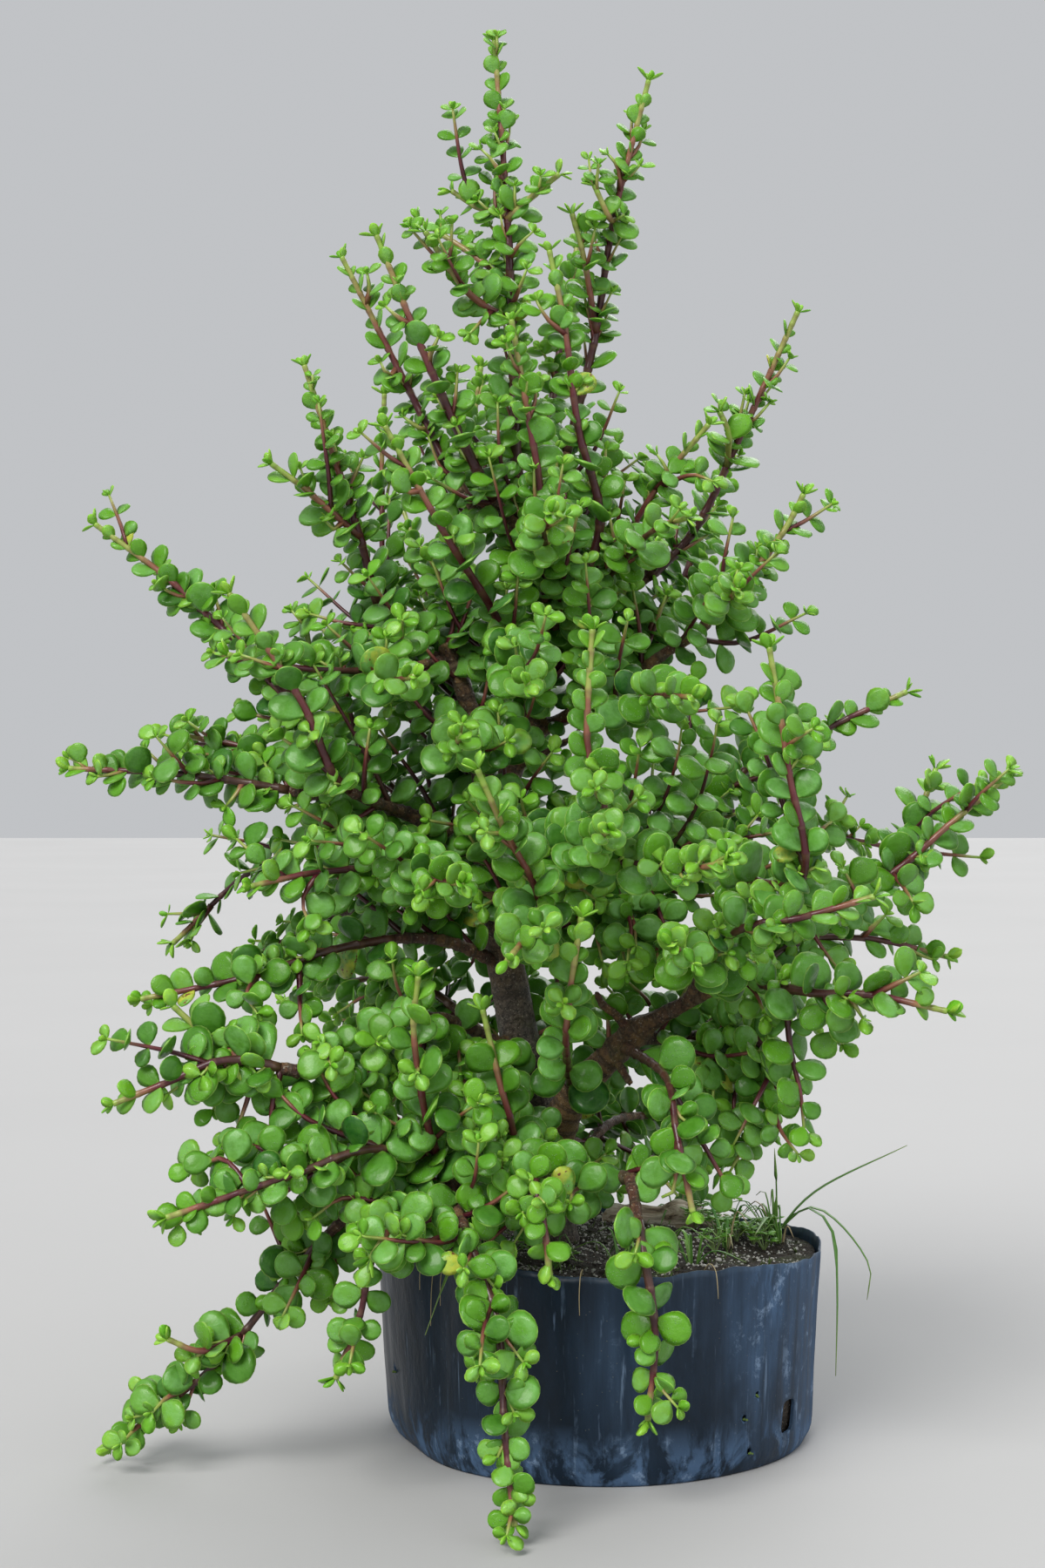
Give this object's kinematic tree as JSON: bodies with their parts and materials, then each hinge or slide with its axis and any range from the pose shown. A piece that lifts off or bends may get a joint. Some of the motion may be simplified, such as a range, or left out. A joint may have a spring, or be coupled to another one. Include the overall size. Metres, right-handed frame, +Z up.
{
  "type": "potted elephant bush",
  "caption": "Branching succulent shrub with small round fleshy leaves on dark red stems, standing in a cut-down plastic nursery bag of soil.",
  "frame": {"origin": "centre of the bag's flat base, on the surface it stands on", "axes": "+Z up, -Y towards the front of the bag, +X to the right seen from the front"},
  "size_m": [0.4338, 0.3755, 0.6447],
  "materials": {
    "bag_plastic": "thin black polythene, satin, wrinkled and dusty",
    "soil": "dark crumbly potting soil with white perlite",
    "dead_wood": "weathered pale brown, rough",
    "grass": "thin yellow-green blades",
    "bark": "grey-brown trunk and dark red-brown stems with ring scars",
    "foliage": "fleshy, fresh green, glossy, with paler margins"
  },
  "bodies": {
    "root": {"bag": "bag_plastic", "soil": "soil", "dead_wood": "dead_wood", "grass_right": "grass", "grass_left": "grass", "wood": "bark", "back_crown": "foliage", "back_left_high": "foliage", "back_left_low": "foliage", "back_left_mid": "foliage", "back_low": "foliage", "back_mid": "foliage", "back_right_high": "foliage", "back_right_low": "foliage", "back_right_mid": "foliage", "back_trail": "foliage", "centre_bright": "foliage", "centre_front_left": "foliage", "centre_upright": "foliage", "crown_front": "foliage", "crown_leader": "foliage", "crown_left": "foliage", "crown_left_far": "foliage", "crown_mid_right": "foliage", "crown_right": "foliage", "front_column": "foliage", "front_hang_mid": "foliage", "front_hang_right": "foliage", "front_trail": "foliage", "front_up_left": "foliage", "front_up_mid": "foliage", "high_left_bright": "foliage", "high_right_bright": "foliage", "left_back_upright": "foliage", "left_diagonal": "foliage", "left_droop_far": "foliage", "left_front_low": "foliage", "left_front_upright": "foliage", "left_hang": "foliage", "left_level": "foliage", "left_long": "foliage", "left_lower": "foliage", "left_lower_back": "foliage", "left_mid_low": "foliage", "left_reach": "foliage", "left_trail": "foliage", "left_under_tip": "foliage", "left_upright": "foliage", "right_arm": "foliage", "right_front_level": "foliage", "right_hang": "foliage", "right_hang_front": "foliage", "right_level": "foliage", "right_low_front": "foliage", "right_mid_up": "foliage", "right_reach": "foliage", "right_top": "foliage", "right_upper_reach": "foliage", "right_upright": "foliage"}
  },
  "joints": []
}
